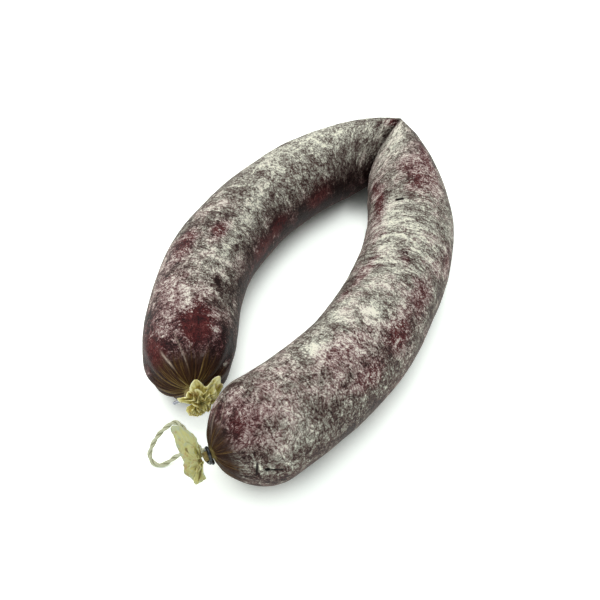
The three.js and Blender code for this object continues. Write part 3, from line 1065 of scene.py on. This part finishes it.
# One crumpled sheet of a tail, with how far it spreads, how deep it is creased and where its rim is
def tailSheet(side, layer, phase, seed):
    tail = tails[side]
    share, forward = layer
    past = form["neckLength"] + form["gap"] + tails["casing"] / 2
    middle, along, inward, up = neckFrame(form[side], past)
    rows, columns = np.linspace(0, 1, tail["rows"]), np.linspace(0, 1, tail["columns"])
    out, across = np.meshgrid(rows, columns, indexing="ij")
    angle = np.radians(tail["from"] + (tail["to"] - tail["from"]) * across)
    stem = np.clip(out / tails["stemShare"], 0, 1)
    fan = np.clip((out - tails["stemShare"]) / (1 - tails["stemShare"]), 0, 1)

    edge = tails["edgeRadius"]
    flat = np.stack([edge * np.cos(angle), edge * np.sin(angle), tails["edgeRun"] * fan], -1)
    ragged = 1 + tails["ragged"] * noiseOf(flat, tails["raggedSize"], seed) * fan
    neck = form["neckRadius"] * math.sqrt(share)
    spread = neck + (tailReach(tail, angle) * ragged * share - neck) * fan ** tail["opening"]
    ruffle = tail["ruffle"] * fan * np.sin(tail["ruffles"] * angle + tails["ruffleTwist"] * fan + phase)
    tilt = math.radians(tail["tilt"]) * stem
    facing = along * np.cos(tilt)[..., None] + up * np.sin(tilt)[..., None]
    rising = up * np.cos(tilt)[..., None] - along * np.sin(tilt)[..., None]
    depth = tail["depth"] * fan + ruffle + forward * stem
    points = middle + inward * (tail["lean"] * stem + spread * np.cos(angle))[..., None]
    points = points + along * (tail["stem"] * stem)[..., None]
    points = points + rising * (spread * np.sin(angle))[..., None] + facing * depth[..., None]

    shifted = np.full(angle.shape, tails["layerShift"] * phase)
    unfolded = np.stack([tails["foldedRadius"] * angle, spread, shifted], -1)
    drawn = unfolded * tails["pleatDraw"]
    creased = tails["creaseMiddle"] - np.abs(creasesOf("buckles", points, seed + 1))
    creased = creased + creasesOf("dents", points, seed + 2)
    creased = creased - np.abs(creasesOf("pleats", drawn, seed + 3))
    creased = creased - np.abs(creasesOf("finePleats", drawn, seed + 4))
    points = points + facing * (creased * tail["crumple"] * fan)[..., None]
    points[..., 2] = np.maximum(points[..., 2], tails["lowest"])
    rim = smoothStep(*tails["rimFrom"], out)
    return points.reshape(-1, 3), unfolded.reshape(-1, 3), spread.ravel(), creased.ravel(), rim.ravel()


def makeTail(side):
    tail = tails[side]
    rows, columns = tail["rows"], tail["columns"]
    row, column = np.meshgrid(np.arange(rows - 1), np.arange(columns - 1), indexing="ij")
    here = (row * columns + column).reshape(-1, 1)
    quads = np.hstack([here, here + 1, here + 1 + columns, here + columns])
    sheets = []
    for k, layer in enumerate(tail["layers"]):
        seed = tail["seed"] + tails["layerSeed"] * k
        sheets.append(tailSheet(side, layer, tails["layerPhase"] * k, seed))
    points, unfolded, spread, creased, rim = (np.concatenate(parts) for parts in zip(*sheets))
    faces = np.vstack([quads + k * rows * columns for k in range(len(sheets))]).tolist()
    values = {
        "sheetPlace": points,
        "fanPlace": unfolded,
        "span": spread / spread.max(),
        # Painted shade in the creased hollows
        "hollowShade": -creased,
        "rim": rim,
    }
    piece = makeMesh(tail["piece"], points, faces, values)
    film = piece.modifiers.new("film", "SOLIDIFY")
    film.thickness = tails["film"]
    film.offset = 0
    dress(piece, casingFinish(tail), "dry_casing", "casing_tail_" + side)


for side in bothSides:
    makeTail(side)
print("casing tails crumpled")


# Plain pale table and soft studio light, brightest from behind on the left
studio = {
    "floorSize": 6.0,
    "floorDrop": 0.00005,
    "floorColour": (242, 247, 243),
    "floorRoughness": 0.8,
    "floorGlow": 0.66,
    "shadeReach": 0.016,
    "shadeFrom": (0.18, 0.66),
    "shadeSamples": 16,
    "skyColour": (0.95, 1.0, 0.98),
    "skyStrength": 0.65,
    "key": {"place": (-0.5, 0.35, 1.1), "size": 1.4, "power": 14.3, "colour": (1.0, 0.98, 0.96)},
    "fill": {"place": (0.9, -0.6, 0.8), "size": 1.0, "power": 1.3, "colour": (1.0, 0.98, 0.96)},
}


# Table that glows softly, a painted light, and glows less where the sausage stands close over it, a painted
# shadow
def tableFinish():
    finish, tree, surface = newFinish("paleTable")
    reach = {"Distance": studio["shadeReach"]}
    shade = addNode(tree, "ShaderNodeAmbientOcclusion", reach, samples=studio["shadeSamples"])
    openness = between(tree, shade.outputs["AO"], *studio["shadeFrom"])
    feed(tree, surface, {
        "Base Color": tone(*studio["floorColour"]),
        "Roughness": studio["floorRoughness"],
        "Emission Color": tone(*studio["floorColour"]),
        "Emission Strength": reckon(tree, "MULTIPLY", openness, studio["floorGlow"]),
    })
    return finish


# Square lamp that points at the table below the part's middle
def makeLamp(name, lamp):
    light = bpy.data.lights.new(name, "AREA")
    light.size = lamp["size"]
    light.energy = lamp["power"]
    light.color = lamp["colour"]
    made = bpy.data.objects.new(name, light)
    made.location = lamp["place"]
    x, y, z = lamp["place"]
    made.rotation_euler = (math.atan2(math.hypot(x, y), z), 0, math.atan2(x, -y))
    bpy.context.scene.collection.objects.link(made)


def makeStudio():
    half, level = studio["floorSize"] / 2, -studio["floorDrop"]
    corners = [(x * half, y * half, level) for x, y in ((-1, -1), (1, -1), (1, 1), (-1, 1))]
    floor = makeMesh("floor", corners, [(0, 1, 2, 3)])
    floor.data.materials.append(tableFinish())
    world = bpy.data.worlds.new("softbox")
    world.use_nodes = True
    sky = world.node_tree.nodes["Background"]
    sky.inputs["Color"].default_value = (*studio["skyColour"], 1)
    sky.inputs["Strength"].default_value = studio["skyStrength"]
    bpy.context.scene.world = world
    makeLamp("keyLight", studio["key"])
    makeLamp("fillLight", studio["fill"])
    bpy.context.scene.view_settings.view_transform = "Standard"


makeStudio()
print("studio lit")


bpy.context.view_layer.update()
